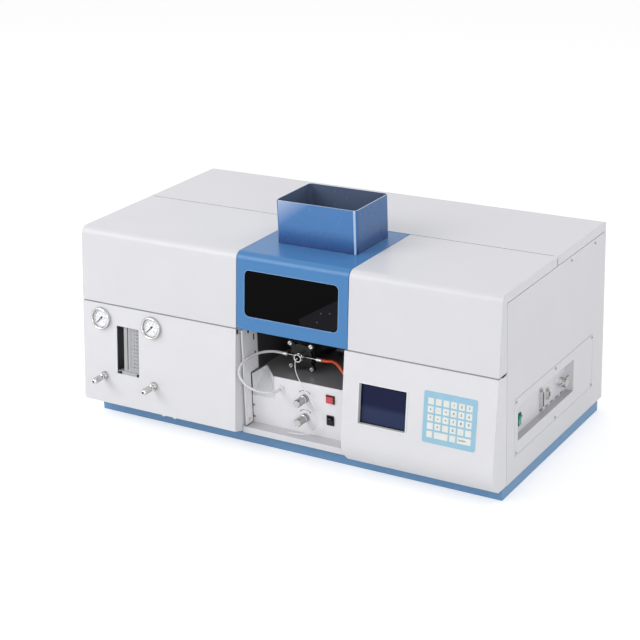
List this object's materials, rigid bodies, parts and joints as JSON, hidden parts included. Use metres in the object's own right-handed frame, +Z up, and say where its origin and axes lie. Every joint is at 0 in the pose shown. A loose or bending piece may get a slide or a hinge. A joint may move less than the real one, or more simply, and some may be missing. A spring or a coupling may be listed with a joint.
{
  "type": "atomic absorption spectrometer",
  "caption": "Bench spectrometer with hinged lids, an open burner bay under a blue hood and chimney, gas gauges, a flow meter, a display and a keypad.",
  "frame": {"origin": "middle of the width on the bench, under the case", "axes": "+X to the user's right, +Y to the back, +Z up"},
  "size_m": [1.0216, 0.6142, 0.536],
  "materials": {
    "off_white_paint": "satin",
    "blue_paint": "satin",
    "plinth_blue": "satin",
    "black_paint": "satin",
    "dark_grey_paint": "satin",
    "light_grey_paint": "satin",
    "chrome": "polished",
    "steel": "satin",
    "aluminium": "satin",
    "brass": "satin",
    "black_plastic": "matt",
    "grey_plastic": "matt",
    "red_plastic": "gloss",
    "green_plastic": "gloss",
    "white_plastic": "matt",
    "keypad_blue": "satin",
    "key_white": "satin",
    "display_navy": "gloss",
    "smoked_glass": "gloss",
    "clear_plastic": "gloss",
    "gauge_glass": "gloss",
    "lamp_glass": "gloss",
    "clear_tube": "gloss",
    "orange_tube": "gloss"
  },
  "bodies": {
    "case": {"plinth": "plinth_blue", "base_pan": "steel", "rear_panel": "off_white_paint", "left_side_panel": "off_white_paint", "right_side_panel": "off_white_paint", "rear_top_cover": "off_white_paint", "hinge_rail": "steel", "gas_panel": "off_white_paint", "gauge_cases": "chrome", "gauge_dials": "white_plastic", "gauge_glasses": "gauge_glass", "flow_meter_body": "clear_plastic", "flow_meter_ends": "grey_plastic", "valve_bodies": "chrome", "bulkheads": "off_white_paint", "bay_liner": "black_paint", "bay_shelf": "dark_grey_paint", "inner_panel": "off_white_paint", "drain_chute": "off_white_paint", "bay_sill": "off_white_paint", "panel_bushes": "chrome", "black_fittings": "black_plastic", "control_panel": "off_white_paint", "display_module": "black_plastic", "display_glass": "display_navy", "keypad": "keypad_blue", "keypad_keys": "key_white", "connector_plate": "off_white_paint", "data_ports": "steel", "gas_fittings": "brass", "burner_guides": "steel", "turret_stand": "aluminium", "lens_barrels": "aluminium", "monochromator": "dark_grey_paint", "power_supply": "steel", "panel_screws": "steel", "drain_tube": "clear_tube", "fuel_hose": "orange_tube", "sip_tube": "clear_tube"},
    "left_lid": {"left_lid": "off_white_paint"},
    "right_lid": {"right_lid": "off_white_paint"},
    "hood": {"hood": "blue_paint", "hood_window": "smoked_glass", "chimney": "blue_paint"},
    "left_valve_knob": {"left_valve_knob": "chrome"},
    "right_valve_knob": {"right_valve_knob": "chrome"},
    "height_knob": {"height_knob": "steel"},
    "fuel_knob": {"fuel_knob": "steel"},
    "ignition_button": {"ignition_button": "red_plastic"},
    "burner_rocker": {"burner_rocker": "black_plastic"},
    "power_rocker": {"power_rocker": "green_plastic"},
    "left_gauge_needle": {"left_gauge_needle": "black_plastic"},
    "right_gauge_needle": {"right_gauge_needle": "black_plastic"},
    "flow_float": {"flow_float": "steel"},
    "burner": {"spray_chamber": "black_plastic", "nebulizer": "steel", "burner_head": "steel", "burner_bracket": "aluminium"},
    "lamp_turret": {"lamp_turret": "aluminium", "lamps": "lamp_glass"}
  },
  "joints": [
    {"name": "left_lid_hinge", "type": "hinge", "parent": "case", "child": "left_lid", "pos_m": [-0.305, 0.0295, 0.43], "axis": [-1, 0, 0], "range_deg": [0, 75]},
    {"name": "right_lid_hinge", "type": "hinge", "parent": "case", "child": "right_lid", "pos_m": [0.34, 0.0295, 0.43], "axis": [-1, 0, 0], "range_deg": [0, 75]},
    {"name": "hood_hinge", "type": "hinge", "parent": "case", "child": "hood", "pos_m": [0.037, 0.0295, 0.43], "axis": [-1, 0, 0], "range_deg": [0, 75]},
    {"name": "left_valve_turn", "type": "hinge", "parent": "case", "child": "left_valve_knob", "pos_m": [-0.452, -0.2777, 0.11], "axis": [0, -1, 0], "range_deg": [0, 1080]},
    {"name": "right_valve_turn", "type": "hinge", "parent": "case", "child": "right_valve_knob", "pos_m": [-0.315, -0.2777, 0.11], "axis": [0, -1, 0], "range_deg": [0, 1080]},
    {"name": "height_knob_turn", "type": "hinge", "parent": "case", "child": "height_knob", "pos_m": [0.043, -0.226, 0.131], "axis": [0, -1, 0], "range_deg": [-905, 905]},
    {"name": "fuel_knob_turn", "type": "hinge", "parent": "case", "child": "fuel_knob", "pos_m": [0.043, -0.226, 0.087], "axis": [0, -1, 0], "range_deg": [0, 720]},
    {"name": "burner_lift", "type": "slide", "parent": "case", "child": "burner", "axis": [0, 0, 1], "range_m": [-0.005, 0.005]},
    {"name": "ignition_press", "type": "slide", "parent": "case", "child": "ignition_button", "axis": [0, 1, 0], "range_m": [0, 0.003], "stiffness_N_per_m": 800, "springref_m": -0.001},
    {"name": "burner_rocker_tip", "type": "hinge", "parent": "case", "child": "burner_rocker", "pos_m": [0.1048, -0.222, 0.0925], "axis": [-1, 0, 0], "range_deg": [0, 16]},
    {"name": "power_rocker_tip", "type": "hinge", "parent": "case", "child": "power_rocker", "pos_m": [0.49, -0.134, 0.138], "axis": [0, -1, 0], "range_deg": [0, 16]},
    {"name": "left_gauge_sweep", "type": "hinge", "parent": "case", "child": "left_gauge_needle", "pos_m": [-0.458, -0.2645, 0.242], "axis": [0, 0.995, -0.0995], "range_deg": [0, 270]},
    {"name": "right_gauge_sweep", "type": "hinge", "parent": "case", "child": "right_gauge_needle", "pos_m": [-0.32, -0.2645, 0.242], "axis": [0, 0.995, -0.0995], "range_deg": [0, 270]},
    {"name": "float_rise", "type": "slide", "parent": "case", "child": "flow_float", "axis": [0, 0.0995, 0.995], "range_m": [0, 0.09]},
    {"name": "turret_turn", "type": "hinge", "parent": "case", "child": "lamp_turret", "pos_m": [-0.345, -0.0865, 0.3], "axis": [1, 0, 0], "range_deg": [0, 270]}
  ],
  "couplings": [
    {"joint": "height_knob_turn", "follows": "burner_lift", "rad_per_m": -3141.6}
  ]
}
